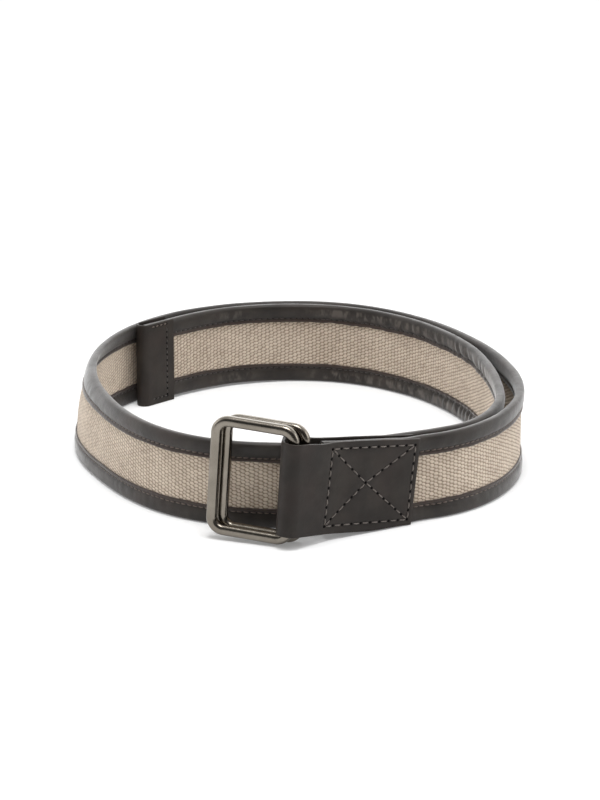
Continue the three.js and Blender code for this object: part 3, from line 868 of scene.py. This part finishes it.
def build_tip():
    """The cap on the free end, drawn in along its seams and faintly swollen between them."""
    line, at, normal = tip_line()
    section = tip_section()
    z = section[:, 1][None, :]
    m = np.minimum(at, at[-1] - at)[:, None]
    dent = np.zeros((len(at), len(section)))
    for level in (TIP_SEAM, TIP_HEIGHT - TIP_SEAM):
        row = np.exp(-((z - level) / 0.8) ** 2)
        dent = np.maximum(dent, row * step_up(m, 0.5, 2.5) * (1 - step_up(m, 12.5, 15)))
    column = np.exp(-((m - TIP_COLUMN) / 0.7) ** 2) * (z > 2) * (z < TIP_HEIGHT - 2)
    dent = np.maximum(dent, 0.7 * column)
    across = section[:, 0][None, :] - (section[:, 0] > 0)[None, :] * dent * 0.2
    across = across + 0.12 * np.sin(np.pi * z / TIP_HEIGHT) * (1 - step_up(m, 10, 16))
    x = line[:, 0][:, None] + normal[:, 0][:, None] * across
    y = line[:, 1][:, None] + normal[:, 1][:, None] * across
    points = np.stack([x, y, np.broadcast_to(z, x.shape)], -1)
    around = lengths_round(section)
    grid_piece("tip_leather", points, at, around, TIP, "strap", slot="tip", replaced=("tip",), sharp=60)
    build_tip_stitches()


def build_tip_stitches():
    """Seams along the cap's top and bottom and up beside its mouth, on both sides, with needle holes in
    painted shade.
    """
    column = LENGTH - TIP_LENGTH + TIP_COLUMN
    along_rows = [(k, k + 1.9) for k in np.arange(column, LENGTH - 1.5, 2.6)]
    up_rows = [(u, u + 2.1) for u in np.arange(3.2, TIP_HEIGHT - 4.5, 2.9)]
    top = TIP_HEIGHT - TIP_SEAM
    # The top seam has the plain thread; the lower seam and the column have its painted-shade copy
    seams = {"tip_stitches": ([], [], [], EDGE_THREAD), "tip_stitches_low": ([], [], [], SHADED_THREAD)}
    holes, ways = [], []
    for side in (1, -1):
        face = side * (TIP_OFFSET + TIP_LEATHER / 2 - 0.1)
        rows = [("tip_stitches", (a, top), (b, top)) for a, b in along_rows]
        rows += [("tip_stitches_low", (a, TIP_SEAM), (b, TIP_SEAM)) for a, b in along_rows]
        rows += [("tip_stitches_low", (column, a), (column, b)) for a, b in up_rows]
        for seam, first, last in rows:
            place = strap_point(first[0], face, first[1])
            way = strap_point(first[0], side * 2.0, first[1]) - strap_point(first[0], side * 1.0, first[1])
            starts, ends, normals, _ = seams[seam]
            starts.append(place)
            ends.append(strap_point(last[0], face, last[1]))
            normals.append(way)
            holes.append(place + 0.11 * way)
            ways.append(way)
    for seam, (starts, ends, normals, material) in seams.items():
        thread_piece(seam, starts, ends, normals, TIP_THREAD_RADIUS, 0.2, material, "strap")
    build_hole_shades("tip_hole_shades", holes, ways)


build_canvas()
build_edge("leather_bottom", -1, 11, gather_pitch=5.4)
build_edge("leather_top", 1, 31, gather_pitch=9.0)
build_tab()
build_tip()
FOLDED = Matrix.Rotation(-RING_FOLD, 4, "Z")
REAR_PLACE = Matrix.Translation((REAR_BAR[0] - FRONT_BAR[0], REAR_BAR[1] - FRONT_BAR[1], 0))
build_ring("front_ring_metal", "ring_front", "front_ring", PAIR @ FOLDED)
build_ring("rear_ring_metal", "ring_rear", "rear_ring", PAIR @ REAR_PLACE @ FOLDED)


# Stage
def build_floor():
    """A pale table that glows faintly, which keeps the shadows on it light."""
    n = Nodes("floor")
    n.finish((0.74, 0.74, 0.74, 1), 0.9, specular_ior_level=0.0, emission_strength=0.2,
             emission_color=(1, 1, 1, 1))
    reach = 4
    corners = [(-reach, -reach, 0), (reach, -reach, 0), (reach, reach, 0), (-reach, reach, 0)]
    mesh = bpy.data.meshes.new("floor")
    mesh.from_pydata(corners, [], [(0, 1, 2, 3)])
    mesh.materials.append(n.material)
    floor = bpy.data.objects.new("floor", mesh)
    bpy.context.scene.collection.objects.link(floor)


def area_light(name, place, look_at, size, power):
    """A rectangular lamp at a place, turned towards a point."""
    light = bpy.data.lights.new(name, "AREA")
    light.shape = "RECTANGLE"
    light.size, light.size_y = size
    light.energy = power
    lamp = bpy.data.objects.new(name, light)
    lamp.location = place
    lamp.rotation_euler = (Vector(look_at) - Vector(place)).to_track_quat("-Z", "Y").to_euler()
    bpy.context.scene.collection.objects.link(lamp)


def build_world():
    """A pale studio: bright overhead, behind and at the sides, dim in front."""
    world = bpy.data.worlds.new("studio")
    world.use_nodes = True
    tree = world.node_tree
    tree.nodes.clear()
    way = tree.nodes.new("ShaderNodeTexCoord")
    apart = tree.nodes.new("ShaderNodeSeparateXYZ")
    tree.links.new(way.outputs["Generated"], apart.inputs[0])

    def fit(socket, low, high, to_low, to_high):
        node = tree.nodes.new("ShaderNodeMapRange")
        node.interpolation_type = "SMOOTHSTEP"
        tree.links.new(socket, node.inputs[0])
        for place, value in zip(node.inputs[1:5], (low, high, to_low, to_high)):
            place.default_value = value
        return node.outputs[0]

    def both(operation, a, b):
        node = tree.nodes.new("ShaderNodeMath")
        node.operation = operation
        tree.links.new(a, node.inputs[0])
        if isinstance(b, float):
            node.inputs[1].default_value = b
        else:
            tree.links.new(b, node.inputs[1])
        return node.outputs[0]

    depth, height = apart.outputs[1], apart.outputs[2]
    dim = both("MULTIPLY", fit(depth, -0.6, 0.0, 1.0, 0.0), fit(height, 0.7, 0.97, 1.0, 0.0))
    lobe = both("MULTIPLY", fit(depth, 0.45, 0.9, 0.0, 1.6), fit(height, 0.5, 0.75, 1.0, 0.0))
    level = both("SUBTRACT", both("ADD", lobe, 0.9), both("MULTIPLY", dim, 0.82))
    back = tree.nodes.new("ShaderNodeBackground")
    tree.links.new(level, back.inputs[1])
    out = tree.nodes.new("ShaderNodeOutputWorld")
    tree.links.new(back.outputs[0], out.inputs[0])
    back.inputs[0].default_value = (1, 1, 1, 1)
    bpy.context.scene.world = world


def build_camera():
    """A long lens, fitted to the strap's edges all round the roll. Its length is in picture heights."""
    focal_length, sensor = 3490 / 800, 36
    camera = bpy.data.cameras.new("camera")
    camera.sensor_width = sensor
    camera.lens = focal_length * sensor
    camera.clip_end = 50
    seat = bpy.data.objects.new("camera", camera)
    seat.location = (0.001386, -1.556399, 0.534)
    seat.rotation_euler = (math.radians(90 - 18), 0, 0)
    bpy.context.scene.collection.objects.link(seat)
    bpy.context.scene.camera = seat


build_floor()
area_light("overhead", (0.05, -0.25, 1.3), (0, 0, 0), (0.7, 0.6), 14)
area_light("left", (-1.6, 0.1, 0.6), (0, 0, 0.03), (0.9, 0.9), 4)
area_light("right", (1.6, 0.1, 0.6), (0, 0, 0.03), (0.9, 0.9), 6)
build_world()
build_camera()
view = bpy.context.scene.view_settings
view.view_transform = "Standard"
view.look = "None"
